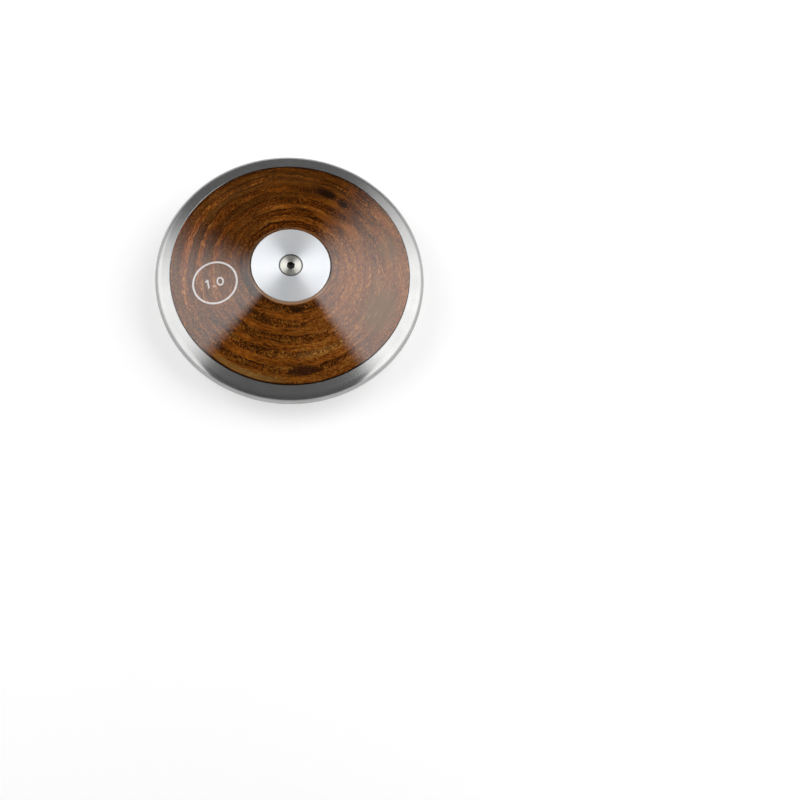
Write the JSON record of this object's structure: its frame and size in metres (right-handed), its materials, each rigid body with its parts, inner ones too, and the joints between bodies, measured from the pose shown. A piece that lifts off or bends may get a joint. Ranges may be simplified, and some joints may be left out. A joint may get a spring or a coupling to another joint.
{
  "type": "discus",
  "caption": "Throwing discus: a turned plywood lens of glued veneers in a smooth round-edged steel rim, with flush aluminium centre plates screwed to a steel core.",
  "frame": {"origin": "centre of the disc, on its axis and midway between its two plate faces", "axes": "+Z along the disc's axis, out of the upper plate; +X to the right in the picture"},
  "size_m": [0.181, 0.181, 0.038],
  "materials": {
    "rim_zinc": "bright zinc plate",
    "plate_aluminium": "turned",
    "screw_nickel": "nickel plate",
    "core_steel": "plain",
    "core_ply": "plain",
    "light_veneer": "gloss lacquer",
    "dark_veneer": "gloss lacquer"
  },
  "bodies": {
    "root": {"rim": "rim_zinc", "hub_core": "core_steel", "upper_core_board": "core_ply", "upper_veneer_07": "dark_veneer", "upper_veneer_08": "light_veneer", "upper_veneer_09": "dark_veneer", "upper_veneer_10": "light_veneer", "upper_veneer_11": "dark_veneer", "upper_veneer_12": "light_veneer", "upper_veneer_13": "dark_veneer", "upper_veneer_14": "light_veneer", "upper_veneer_15": "dark_veneer", "upper_veneer_16": "light_veneer", "upper_veneer_17": "dark_veneer", "upper_veneer_18": "light_veneer", "upper_plate": "plate_aluminium", "upper_screw": "screw_nickel", "lower_core_board": "core_ply", "lower_veneer_07": "dark_veneer", "lower_veneer_08": "light_veneer", "lower_veneer_09": "dark_veneer", "lower_veneer_10": "light_veneer", "lower_veneer_11": "dark_veneer", "lower_veneer_12": "light_veneer", "lower_veneer_13": "dark_veneer", "lower_veneer_14": "light_veneer", "lower_veneer_15": "dark_veneer", "lower_veneer_16": "light_veneer", "lower_veneer_17": "dark_veneer", "lower_veneer_18": "light_veneer", "lower_plate": "plate_aluminium", "lower_screw": "screw_nickel"}
  },
  "joints": []
}
